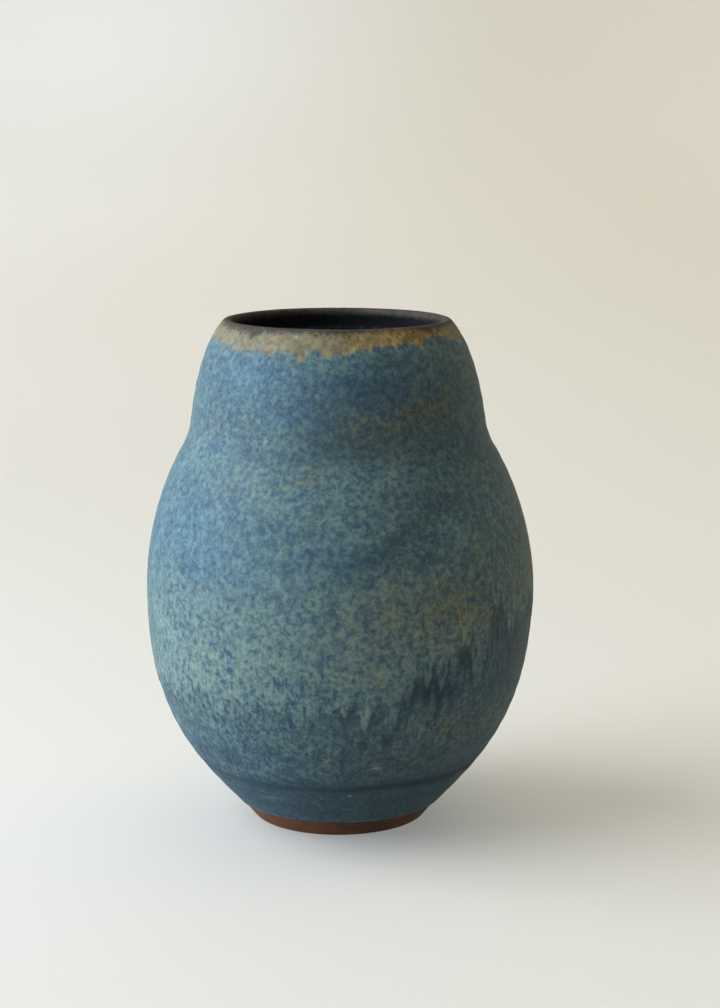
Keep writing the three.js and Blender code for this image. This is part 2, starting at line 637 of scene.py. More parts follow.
@dataclass(frozen=True)
class GlazeMap:
    """Everything that tells the outer glaze's shader what lies where round the pot.

    Attributes:
        dip: the second dip.
        band: the iron band.
        blue: patches of cobalt blue.
        olive: patches of olive.
        shade: patches where the glaze pooled deep and dark, and broad painted shade on the shaded right, at
            the waist and low on the pot.
        pale: patches with a pale bloom, and broad painted light on the lit left of the belly.
        specks: pale specks and scratches.
        cloud_top: where the clouds of the ground glaze fade out upwards.
        cloud_foot: where they end above the foot.
        scallop: how deep the scallops of their lower edge are.
        scallops_per_half_turn: how many of them lie in half a turn.
        ring_line: the height of the dark line above the foot.
        ring_width: half its width.
        ring_depth: how dark it is.
        pool_depth: how dark the glaze is under the second dip's edge.
        rolled_edge_highlight: the height of the paler edge over the foot, a painted highlight along the
            rolled bead.
        rolled_width: half its width.
        rust_front: the angle of the rust on the front.
        rust_back: the angle of the rust behind.
    """

    dip: SecondDip = SecondDip()
    band: IronBand = IronBand()
    blue: tuple[Patch, ...] = (
        Patch(-38, 198, 16, 9, 0.7), Patch(-48, 135, 20, 13, 0.5, 0.15), Patch(-36, 120, 16, 9, 0.4),
        Patch(12, 196, 26, 7, 0.5), Patch(18, 190, 14, 8, 0.4), Patch(-2, 128, 13, 7, 0.4),
        Patch(110, 140, 30, 14, 0.7), Patch(170, 120, 26, 16, 0.7), Patch(-130, 150, 34, 15, 0.7),
        Patch(140, 196, 30, 8, 0.6), Patch(-150, 192, 26, 8, 0.6), Patch(-18, 184, 20, 9, 0.55),
        Patch(-46, 169, 14, 7, 0.4), Patch(-75, 130, 34, 60, 0.2), Patch(-55, 30, 45, 26, 0.15),
    )
    olive: tuple[Patch, ...] = (
        Patch(20, 178, 24, 10, 0.75, 0.1), Patch(36, 183, 9, 5, 0.45), Patch(58, 190, 18, 12, 0.6),
        Patch(-45, 174, 17, 7, 0.35), Patch(26, 106, 24, 15, 0.75), Patch(42, 96, 14, 14, 0.5),
        Patch(8, 84, 16, 12, 0.35), Patch(40, 56, 16, 8, 0.5), Patch(-10, 158, 6, 5, 0.5),
        Patch(100, 110, 28, 22, 0.6), Patch(160, 178, 24, 12, 0.6), Patch(-160, 100, 26, 18, 0.5),
        Patch(-105, 180, 20, 9, 0.5), Patch(-110, 60, 24, 10, 0.4), Patch(78, 112, 28, 70, 0.5),
        Patch(34, 34, 40, 20, 0.4), Patch(-150, 40, 40, 22, 0.4),
    )
    # Pooled glaze and dark streaks, with broad painted shade on the right of the collar and belly, at the
    # waist and low on the pot
    shade: tuple[Patch, ...] = (
        Patch(19, 136, 13, 3.8, 0.6, 0.72), Patch(36, 184, 46, 22, 0.5), Patch(11, 168, 16, 6, 0.3),
        Patch(6, 127, 20, 8, 0.4), Patch(30, 150, 12, 8, 0.35), Patch(-6, 178, 14, 12, 0.35),
        Patch(38, 26, 62, 24, 0.75), Patch(-30, 17, 50, 9, 0.35), Patch(20, 48, 30, 12, 0.25),
        Patch(50, 170, 26, 9, 0.3), Patch(54, 76, 20, 13, 0.45), Patch(12, 193, 22, 7, 0.35),
        Patch(51, 94, 3.4, 9, 0.5), Patch(37, 84, 6, 6, 0.5), Patch(26, 72, 9, 6, 0.45),
        Patch(-22, 165, 22, 3.5, 0.35), Patch(-58, 190, 24, 14, 0.15), Patch(130, 130, 16, 5, 0.6, 0.4),
        Patch(-125, 122, 18, 5, 0.6, -0.4), Patch(175, 150, 16, 5, 0.5, 0.3), Patch(50, 120, 14, 10, 0.15),
    )
    # Pale bloom, with broad painted light on the lit left and front of the belly
    pale: tuple[Patch, ...] = (
        Patch(10, 157, 14, 8, 0.55), Patch(-60, 92, 22, 16, 0.55), Patch(-32, 82, 18, 13, 0.6),
        Patch(-70, 165, 14, 8, 0.3), Patch(-62, 75, 10, 8, 0.5), Patch(-35, 155, 12, 8, 0.3),
        Patch(-28, 100, 12, 10, 0.3), Patch(140, 90, 30, 14, 0.5), Patch(-140, 86, 30, 14, 0.5),
        Patch(100, 165, 18, 8, 0.4), Patch(-170, 160, 18, 8, 0.4), Patch(-14, 90, 60, 20, 0.75),
        Patch(-56, 62, 34, 12, 0.9), Patch(35, 91, 9, 9, 0.6), Patch(0, 58, 36, 10, 0.35),
        Patch(-64, 98, 26, 15, 0.45), Patch(-48, 77, 24, 8, 0.6),
    )
    specks: tuple[Patch, ...] = (
        Patch(-19, 212.2, 0.7, 0.5, 0.8), Patch(-27.5, 171, 0.6, 0.6, 0.7), Patch(4, 24.5, 0.7, 0.5, 0.5),
        Patch(12, 38.7, 3.0, 0.4, 0.3, 0.12), Patch(-17, 45, 1.0, 0.8, 0.35), Patch(-44, 48, 1.0, 0.8, 0.3),
        Patch(7.6, 65, 0.6, 4.0, 0.3, 0.9), Patch(18, 145, 1.2, 1.1, 0.25), Patch(-8, 190, 0.7, 0.6, 0.3),
        Patch(24, 198, 0.7, 0.7, 0.3), Patch(-50, 30, 1.3, 0.7, 0.3), Patch(-31, 20, 6.0, 0.8, 0.2, 0.1),
        Patch(95, 150, 0.8, 0.7, 0.6), Patch(150, 60, 0.8, 0.8, 0.5), Patch(-120, 110, 0.7, 0.7, 0.6),
        Patch(-155, 35, 3.0, 0.5, 0.3, 0.1),
    )
    cloud_top: float = 56.0
    cloud_foot: float = 33.5
    scallop: float = 2.6
    scallops_per_half_turn: float = 9.5
    ring_line: float = 28.0
    ring_width: float = 2.0
    ring_depth: float = 0.68
    pool_depth: float = 0.7
    rolled_edge_highlight: float = 8.8
    rolled_width: float = 0.7
    rust_front: float = 32.0
    rust_back: float = 175.0

    def cloud(self, angle: Array, height: Array) -> Array:
        """Gives the clouded zone of the ground glaze, which ends in soft scallops above the foot.

        Args:
            angle: each point's angle round the pot.
            height: each point's height.

        Returns:
            A strength for each point.
        """
        wave = turn_between(angle, 3.0) * self.scallops_per_half_turn + 25 * np.sin(np.radians(2 * angle))
        scallops = self.scallop * np.abs(np.sin(np.radians(wave)))
        foot = self.cloud_foot - scallops + 1.2 * ripple(angle, (3, 7, 13), 17)
        top = self.cloud_top
        return eased(height, foot - 1.0, foot + 1.6) * (1 - eased(height, top - 9, top + 7))

    def pool(self, angle: Array, height: Array) -> Array:
        """Gives the dark bands: under the run edge, where no second glaze lies, and in a line above the foot.

        Args:
            angle: each point's angle round the pot.
            height: each point's height.

        Returns:
            A strength for each point.
        """
        cover = self.dip.cover(angle, height)
        under = eased(cover, -15, -4) * (1 - eased(cover, -0.5, 3.0))
        line_height = height - self.ring_line - 0.8 * ripple(angle, (2, 5, 9), 19)
        line = np.exp(-((line_height / self.ring_width) ** 2))
        side = 0.2 + 0.8 * eased(turn_between(angle, 10), -35, 5)
        patchy = 0.75 + 0.35 * ripple(angle, (4, 9, 15), 31)
        return self.pool_depth * side * under * patchy + self.ring_depth * line

    def rust(self, angle: Array) -> Array:
        """Gives where the iron breaks ochre and rust: on the right of the front, and behind.

        Args:
            angle: each point's angle round the pot.

        Returns:
            A strength for each point.
        """
        front = np.exp(-((turn_between(angle, self.rust_front) / 30) ** 2))
        back = 0.7 * np.exp(-((turn_between(angle, self.rust_back) / 32) ** 2))
        return np.clip(front + back + 0.15 * ripple(angle, (7, 12, 19), 23), 0, 1)

    def layers(self, angle: Array, height: Array) -> dict[Mask, Array]:
        """Gives every vertex layer of the outer glaze.

        Args:
            angle: each vertex's angle round the pot.
            height: each vertex's height.

        Returns:
            The values of each mask: covers are millimetres above an edge, the rest are strengths.
        """
        patches = {
            Mask.BLUE: self.blue,
            Mask.OLIVE: self.olive,
            Mask.POOL_AND_SHADE: self.shade,
            Mask.PALE: self.pale,
            Mask.SPECK: self.specks,
        }
        made = {mask: sum(p.weigh(angle, height) for p in several) for mask, several in patches.items()}
        made[Mask.POOL_AND_SHADE] = made[Mask.POOL_AND_SHADE] + self.pool(angle, height)
        # A paler line along the rolled edge: painted highlight
        rolled = np.exp(-(((height - self.rolled_edge_highlight) / self.rolled_width) ** 2))
        made[Mask.PALE] = made[Mask.PALE] + 0.6 * rolled
        made[Mask.DIP] = self.dip.cover(angle, height)
        made[Mask.BAND] = self.band.cover(angle, height)
        made[Mask.LIP] = self.band.lip_cover(angle, height)
        made[Mask.CLOUD] = self.cloud(angle, height)
        made[Mask.RUST] = self.rust(angle)
        return made


# ---------------------------------------------------------------------------------------------------------
# Turned meshes
# ---------------------------------------------------------------------------------------------------------


@dataclass(frozen=True)
class Section:
    """A stretch of a closed section.

    Attributes:
        points: radius and height of each point.
        lift: which way the relief moves each point, and how much of it counts there.
        climb: the height that places the glaze, which goes on growing inside the lip.
    """

    points: Array
    lift: Array
    climb: Array

    @classmethod
    def still(cls, points: Array) -> "Section":
        """Gives a stretch that the relief does not move."""
        return cls(points, np.zeros_like(points), cls._climb(points))

    @classmethod
    def moved(cls, points: Array, share: Array | float = 1.0) -> "Section":
        """Gives a stretch that the relief moves, along its own normals."""
        return cls(points, normals(points) * np.reshape(share, (-1, 1)), cls._climb(points))

    def then(self, other: "Section") -> "Section":
        """Gives this stretch and another after it."""
        pairs = zip((self.points, self.lift, self.climb), (other.points, other.lift, other.climb))
        return Section(*(np.concatenate(pair) for pair in pairs))

    def back(self) -> "Section":
        """Gives the stretch the other way round."""
        return Section(self.points[::-1], self.lift[::-1], self.climb[::-1])

    @staticmethod
    def _climb(points: Array) -> Array:
        """Mirrors the heights past the crest, when the stretch goes over one.

        Args:
            points: radius and height of each point.

        Returns:
            A height for each point that goes on growing past the crest.
        """
        crest = int(np.argmax(points[:, 1]))
        past = (np.arange(len(points)) > crest) & (0 < crest < len(points) - 1)
        return np.where(past, 2 * points[crest, 1] - points[:, 1], points[:, 1])


@dataclass
class Turning:
    """One closed section, turned about the pot's axis into a mesh.

    Attributes:
        name: the piece's name.
        section: the section, anticlockwise, which starts and ends on the axis or forms a loop.
        columns: facets round the pot.
        relief: the relief as a function of angle and climb.
        hand: gives the lean of the pot's centre line.
    """

    name: str
    section: Section
    columns: int
    relief: Relief
    hand: Hand
    angle: Array = field(init=False)
    climb: Array = field(init=False)
    piece: bpy.types.Object = field(init=False)

    def make(self) -> bpy.types.Object:
        """Builds the mesh and its object, and keeps each vertex's angle and climb.

        Returns:
            The object, in the scene.
        """
        poled = bool(self.section.points[0, 0] < ON_AXIS)
        rows = slice(1, -1) if poled else slice(None)
        points, lift = self.section.points[rows], self.section.lift[rows]
        turn = np.arange(self.columns) * 360.0 / self.columns
        angle, climb = np.meshgrid(turn, self.section.climb[rows])
        proud = self.relief(angle, climb)
        radius = points[:, :1] + lift[:, :1] * proud
        height = points[:, 1:] + lift[:, 1:] * proud
        around = np.radians(angle)
        shift = self.hand.shift(points[:, 1:])
        places = np.stack([radius * np.sin(around) + shift, -radius * np.cos(around), height], axis=-1)
        self.angle, self.climb = angle.ravel(), climb.ravel()
        places, faces = places.reshape(-1, 3), self._quads(len(points), wrap=not poled)
        if poled:
            places, faces = self._capped(places, faces, len(points))
        mesh = bpy.data.meshes.new(self.name)
        mesh.from_pydata((places * MM).tolist(), [], faces)
        mesh.shade_smooth()
        mesh.set_sharp_from_angle(angle=math.radians(SHARP_ANGLE))
        self.piece = bpy.data.objects.new(self.name, mesh)
        bpy.context.scene.collection.objects.link(self.piece)
        return self.piece

    def paint(self, layers: dict[Mask, Array]) -> None:
        """Writes vertex layers onto the mesh.

        Args:
            layers: the values of each mask, one for each vertex.
        """
        for mask, values in layers.items():
            layer = self.piece.data.attributes.new(mask.value, "FLOAT", "POINT")
            layer.data.foreach_set("value", np.asarray(values, dtype=np.float32).ravel())

    def _quads(self, rows: int, wrap: bool) -> list[tuple[int, int, int, int]]:
        """Gives the faces between neighbouring rows, facing out.

        Args:
            rows: how many rows of vertices there are.
            wrap: whether the last row joins the first.

        Returns:
            Four vertex numbers for each face.
        """
        n = self.columns
        pairs = [(i, (i + 1) % rows) for i in range(rows if wrap else rows - 1)]
        return [
            (a * n + j, a * n + (j + 1) % n, b * n + (j + 1) % n, b * n + j)
            for a, b in pairs
            for j in range(n)
        ]

    def _capped(self, places: Array, faces: list, rows: int) -> tuple[Array, list]:
        """Adds a vertex on the axis at each end, and the faces round it.

        Args:
            places: the vertices so far.
            faces: the faces so far.
            rows: how many rows of vertices there are.

        Returns:
            The vertices and the faces of the closed mesh.
        """
        n, first, last = self.columns, len(places), (rows - 1) * self.columns
        levels = self.section.points[[0, -1], 1]
        ends = np.stack([self.hand.shift(levels), np.zeros(2), levels], axis=1)
        start = [(first, (j + 1) % n, j) for j in range(n)]
        end = [(last + j, last + (j + 1) % n, first + 1) for j in range(n)]
        self.angle = np.concatenate([self.angle, [0.0, 0.0]])
        self.climb = np.concatenate([self.climb, levels])
        return np.concatenate([places, ends]), faces + start + end


def shell(face: Array, back: Array) -> Section:
    """Joins a coat's face, which the relief moves, and its back against the clay, which runs the same way."""
    return Section.moved(face).then(Section.still(back).back())


# ---------------------------------------------------------------------------------------------------------
# Finishes
# ---------------------------------------------------------------------------------------------------------


@dataclass(frozen=True)
class Tone:
    """The two colours that a mottled glaze breaks into: its deep ground and its pale flecks."""

    deep: str
    pale: str


class Node(Enum):
    """The kinds of node that the finishes are built from.

    Each holds the node's type, the inputs that values go to in turn, its main output, and its usual settings.
    """

    PLACE = ("ShaderNodeTexCoord", (), "Object", {})
    LENGTH = ("ShaderNodeVectorMath", (0,), "Value", {"operation": "LENGTH"})
    SCALE = ("ShaderNodeVectorMath", (0, "Scale"), 0, {"operation": "SCALE"})
    MOVE = ("ShaderNodeMapping", ("Vector", "Location", "Scale"), 0, {})
    NOISE = ("ShaderNodeTexNoise", ("Vector", "Scale", "Detail", "Roughness"), 0, {})
    LAYER = ("ShaderNodeAttribute", (), "Fac", {"attribute_type": "GEOMETRY"})
    EASE = ("ShaderNodeMapRange", (0, 1, 2, 3, 4), 0, {"interpolation_type": "SMOOTHSTEP"})
    SUM = ("ShaderNodeMath", (0, 1), 0, {"operation": "ADD"})
    PRODUCT = ("ShaderNodeMath", (0, 1), 0, {"operation": "MULTIPLY"})
    POWER = ("ShaderNodeMath", (0, 1), 0, {"operation": "POWER"})
    BLEND = ("ShaderNodeMix", (0, 6, 7), 2, {"data_type": "RGBA"})
    BUMP = ("ShaderNodeBump", ("Height", "Distance", "Strength"), 0, {})


class ShaderDesk:
    """A new material with the coordinates, in millimetres, that all the finishes draw their patterns in."""

    def __init__(self, name: str) -> None:
        """Makes an empty material with an output, a surface shader and coordinates in millimetres.

        Args:
            name: the material's name.
        """
        self.material = bpy.data.materials.new(name)
        self.material.use_nodes = True
        self.tree = self.material.node_tree
        self.tree.nodes.clear()
        self.surface = add_node(self.tree, "ShaderNodeBsdfPrincipled")
        add_node(self.tree, "ShaderNodeOutputMaterial", {"Surface": self.surface.outputs[0]})
        self.place = self.add(Node.SCALE, self.add(Node.PLACE), 1 / MM)

    def add(self, kind: Node, *values: Socket | tuple | float, **settings: object) -> Socket:
        """Adds a node with its inputs filled in turn.

        Args:
            kind: the kind of node.
            values: plain values or other nodes' outputs, in the order of the kind's inputs.
            settings: properties of this node beside the kind's usual ones.

        Returns:
            The node's main output.
        """
        type_name, inputs, output, usual = kind.value
        return add_node(self.tree, type_name, dict(zip(inputs, values)), **usual, **settings).outputs[output]

    def pattern(
        self, grain: float, detail: float = 2.0, rough: float = 0.55, stretch: float = 1.0, shift: float = 0.0
    ) -> Socket:
        """Gives a cloudy pattern between about 0.25 and 0.75.

        Args:
            grain: the size of its patches in millimetres.
            detail: how many finer patterns are laid over it.
            rough: how strong each finer pattern is beside the one before it.
            stretch: how much longer its patches are upwards than across.
            shift: moves it, so that two patterns of one size differ.

        Returns:
            The pattern's output.
        """
        place = self.add(Node.MOVE, self.place, (shift, shift * 0.7, -shift), (1, 1, 1 / stretch))
        return self.add(Node.NOISE, place, 1 / grain, detail, rough)

    def finish(self, colour: Socket, rough: Socket, relief: Socket, depth_mm: float, strength: float) -> None:
        """Links the colour, the roughness and the fine relief to the surface.

        Args:
            colour: the surface's colour.
            rough: its roughness.
            relief: the height of its fine relief, from 0 to 1.
            depth_mm: how deep that relief is.
            strength: how much of it shows.
        """
        normal = self.add(Node.BUMP, relief, depth_mm * MM, strength)
        for name, socket in {"Base Color": colour, "Roughness": rough, "Normal": normal}.items():
            self.tree.links.new(socket, self.surface.inputs[name])

    def dress(self, piece: bpy.types.Object) -> None:
        """Puts the material on a piece as its only one."""
        piece.data.materials.clear()
        piece.data.materials.append(self.material)


@dataclass(frozen=True)
class DippedGlaze:
    """Dry satin stoneware glaze, dipped twice and fired in reduction.

    Titanium in the second dip crystallises as it cools, and leaves a fine mottle of pale and greenish flecks
    on blue, a little over 1 mm across. Iron burns through where the glaze runs thin over the lip.

    Attributes:
        ground, dip, olive, blue, band, rust, lip: the two colours that each glaze breaks into.
        fleck_mm: the size of a fleck.
        grain_flecks: the size of a crystal, in flecks.
        drift_flecks: the size of a drift of crystals, in flecks.
        grain_share: how much of the mottle is crystals, the rest being drifts.
        streak_mm: the width of a streak in the running glaze.
        streak_stretch: how much longer than wide the streaks are.
        cloud_mm: the size of a cloud in the ground glaze.
        drag_mm: how far the streaks drag the edge of the second dip.
        lip_drag_mm: how far they drag the edges of the band and the lip.
        cloud_share, olive_share and so on: how far each tone covers what lies under it.
        relief_mm: how far the crystals stand proud.
    """

    ground: Tone = Tone("#203b4b", "#416774")
    dip: Tone = Tone("#29485d", "#678582")
    olive: Tone = Tone("#36392f", "#797048")
    blue: Tone = Tone("#214566", "#527e98")
    band: Tone = Tone("#5d5948", "#83806c")
    rust: Tone = Tone("#665130", "#af9d63")
    lip: Tone = Tone("#201f1e", "#47403a")
    # pooled glaze, also laid on as painted shade
    pooled_glaze_and_painted_shade: str = "#162a39"
    # pale bloom, also laid on as painted light
    pale_bloom_and_painted_light: str = "#788d83"
    green_fleck: str = "#767657"
    violet_fleck: str = "#2e506f"
    ticks: str = "#2d180d"
    crystal: str = "#8da095"
    inner: str = "#181b20"
    fleck_mm: float = 1.3
    grain_flecks: float = 1.9
    drift_flecks: float = 8.0
    grain_share: float = 0.72
    streak_mm: float = 1.6
    streak_stretch: float = 7.0
    cloud_mm: float = 8.0
    drag_mm: float = 11.0
    lip_drag_mm: float = 3.0
    cloud_share: float = 0.92
    olive_share: float = 0.85
    blue_share: float = 0.8
    pale_share: float = 0.6
    green_share: float = 0.35
    violet_share: float = 0.33
    pool_and_shade_share: float = 0.7
    tick_share: float = 0.75
    relief_mm: float = 0.05
    roughness: float = 0.72
    gloss: float = 0.25

    def material(self) -> ShaderDesk:
        """Builds the shader: mottled tones, laid over each other where each glaze lies.

        Returns:
            The desk with the finished material.
        """
        desk = ShaderDesk("dipped_stoneware_glaze")
        add = desk.add
        here = {mask: add(Node.LAYER, attribute_name=mask.value) for mask in Mask}

        # The mottle: crystals two flecks across, in drifts, drawn out upwards near the lower edge of the dip
        grain = desk.pattern(self.fleck_mm * self.grain_flecks, rough=0.65)
        grain = add(Node.EASE, grain, *PATTERN_RANGE)
        drift = desk.pattern(self.fleck_mm * self.drift_flecks, rough=0.8, shift=31)
        drift = add(Node.EASE, drift, *PATTERN_RANGE)
        streak = add(Node.SUM, desk.pattern(self.streak_mm, stretch=self.streak_stretch, shift=57), -0.5)
        crystals = add(Node.PRODUCT, grain, self.grain_share)
        mottle = add(Node.SUM, crystals, add(Node.PRODUCT, drift, 1 - self.grain_share))
        mottle = add(Node.POWER, mottle, 1.5)
        runny = add(Node.PRODUCT, streak, add(Node.EASE, here[Mask.DIP], 4, 30, 1.4, 0.1))
        mottle = add(Node.SUM, mottle, runny)
        pairs = (self.ground, self.dip, self.olive, self.blue, self.band, self.rust, self.lip)
        tones = [add(Node.BLEND, mottle, linear(pair.deep), linear(pair.pale)) for pair in pairs]
        ground, dip, olive, blue, band, rust, lip = tones

        # Where each tone shows: grain and streaks fray the edges of the dips
        jitter = add(Node.PRODUCT, add(Node.SUM, grain, -0.5), 3.0)
        fine_jitter = add(Node.PRODUCT, jitter, 0.5)
        lip_drag = add(Node.PRODUCT, streak, self.lip_drag_mm)
        clouds = add(Node.EASE, desk.pattern(self.cloud_mm, detail=3.0, shift=11), 0.38, 0.6)
        clouded = add(Node.PRODUCT, add(Node.PRODUCT, here[Mask.CLOUD], clouds), self.cloud_share)
        run = add(Node.SUM, here[Mask.DIP], jitter)
        run = add(Node.SUM, run, add(Node.PRODUCT, streak, self.drag_mm))
        olive_here = add(Node.PRODUCT, here[Mask.OLIVE], add(Node.EASE, drift, 0.0, 1.0, 0.5, 1.0))
        pale_here = add(Node.PRODUCT, here[Mask.PALE], add(Node.PRODUCT, mottle, self.pale_share))
        hue = desk.pattern(self.fleck_mm, detail=1.0, shift=83)
        rim = add(Node.SUM, add(Node.SUM, here[Mask.BAND], fine_jitter), lip_drag)
        edge = add(Node.SUM, add(Node.SUM, here[Mask.LIP], fine_jitter), lip_drag)

        # The iron band, with dark ticks where the glaze breaks just under the lip
        ticks = add(Node.EASE, streak, 0.06, 0.16)
        ticks = add(Node.PRODUCT, ticks, add(Node.EASE, here[Mask.LIP], -3.6, -0.5))
        iron = add(Node.BLEND, here[Mask.RUST], band, rust)
        iron = add(Node.BLEND, add(Node.PRODUCT, ticks, self.tick_share), iron, linear(self.ticks))

        colour = ground
        for share, over in (
            (clouded, dip),
            (add(Node.EASE, run, -2.2, 2.4), dip),
            (add(Node.PRODUCT, olive_here, self.olive_share), olive),
            (add(Node.PRODUCT, here[Mask.BLUE], self.blue_share), blue),
            # pale bloom and painted light
            (pale_here, linear(self.pale_bloom_and_painted_light)),
            (add(Node.EASE, hue, 0.5, 0.68, 0.0, self.green_share), linear(self.green_fleck)),
            (add(Node.EASE, hue, 0.5, 0.32, 0.0, self.violet_share), linear(self.violet_fleck)),
            # pooled glaze and painted shade
            (add(Node.PRODUCT, here[Mask.POOL_AND_SHADE], self.pool_and_shade_share), linear(self.pooled_glaze_and_painted_shade)),
            (add(Node.EASE, rim, -1.3, 1.7), iron),
            (add(Node.EASE, edge, -1.6, 1.2), lip),
            (add(Node.EASE, here[Mask.LIP], 3.0, 7.0), linear(self.inner)),
            (here[Mask.SPECK], linear(self.crystal)),
        ):
            colour = add(Node.BLEND, share, colour, over)

        rough = add(Node.EASE, mottle, 0.0, 1.0, self.roughness - 0.06, self.roughness + 0.08)
        desk.finish(colour, rough, mottle, self.relief_mm, 0.5)
        desk.surface.inputs["IOR"].default_value = GLAZE_IOR
        desk.surface.inputs["Specular IOR Level"].default_value = self.gloss
        return desk


@dataclass(frozen=True)
class LinerGlaze:
    """Satin near-black liner glaze, poured in and out, with a few rusty and bluish flecks; its black is set a
    little darker as painted shade inside the pot.
    """

    # near-black, darkened a little as painted shade inside the pot
    black: str = "#26272d"
    fleck: str = "#544c3d"
    blue_fleck: str = "#3d4859"
    fleck_mm: float = 1.8
    blue_mm: float = 3.5
    relief_mm: float = 0.05
    roughness: float = 0.42

    def material(self) -> ShaderDesk:
        """Builds the shader: black, with flecks that lie a little rougher on it.

        Returns:
            The desk with the finished material.
        """
        desk = ShaderDesk("black_liner_glaze")
        fleck = desk.add(Node.EASE, desk.pattern(self.fleck_mm, detail=3.0), 0.54, 0.68)
        blue = desk.add(Node.EASE, desk.pattern(self.blue_mm, shift=20), 0.52, 0.7)
        colour = desk.add(Node.BLEND, fleck, linear(self.black), linear(self.fleck))
        colour = desk.add(Node.BLEND, blue, colour, linear(self.blue_fleck))
        rough = desk.add(Node.EASE, fleck, 0.0, 1.0, self.roughness, self.roughness + 0.15)
        desk.finish(colour, rough, fleck, self.relief_mm, 0.5)
        desk.surface.inputs["IOR"].default_value = GLAZE_IOR
        return desk


@dataclass(frozen=True)
class BareStoneware:
    """Bare stoneware, fired dry and matt, with fine grog and darker iron specks."""

    body: str = "#5d3215"
    toasted: str = "#43240f"
    speck: str = "#271609"
    roughness: float = 0.88
    toast_mm: float = 14.0
    turning_mm: float = 6.0
    turning_stretch: float = 0.12
    speck_mm: float = 1.1
    grog_mm: float = 0.6  # finer in the clay itself, and drawn this coarse so that it shows
    relief_mm: float = 0.08

    def material(self) -> ShaderDesk:
        """Builds the shader: clay toasted in patches and along the turning marks, specks, and grog in relief.

        Returns:
            The desk with the finished material.
        """
        desk = ShaderDesk("bare_turned_stoneware")
        toast = desk.add(Node.EASE, desk.pattern(self.toast_mm, detail=3.0), 0.38, 0.64)
        turned = desk.pattern(self.turning_mm, stretch=self.turning_stretch, shift=9)
        turned = desk.add(Node.EASE, turned, 0.4, 0.62)
        speck = desk.add(Node.EASE, desk.pattern(self.speck_mm, detail=1.0, shift=5), 0.66, 0.74)
        grog = desk.pattern(self.grog_mm, shift=2)
        colour = desk.add(Node.BLEND, toast, linear(self.body), linear(self.toasted))
        colour = desk.add(Node.BLEND, desk.add(Node.PRODUCT, turned, 0.35), colour, linear(self.toasted))
        colour = desk.add(Node.BLEND, speck, colour, linear(self.speck))
        rough = desk.add(Node.EASE, grog, 0.3, 0.7, self.roughness - 0.06, self.roughness + 0.06)
        desk.finish(colour, rough, grog, self.relief_mm, 0.7)
        return desk


# ---------------------------------------------------------------------------------------------------------
# The sub-assemblies
# ---------------------------------------------------------------------------------------------------------


def settle(piece: bpy.types.Object, slot: str, *nodes: str) -> None:
    """Tells the frame what a piece rides on, and hides the CAD nodes that it stands for.

    Args:
        piece: the finished piece.
        slot: the material slot of the record; not used.
        nodes: the CAD nodes that it stands for.
    """
    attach(piece, ROOT)
    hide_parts(*nodes)


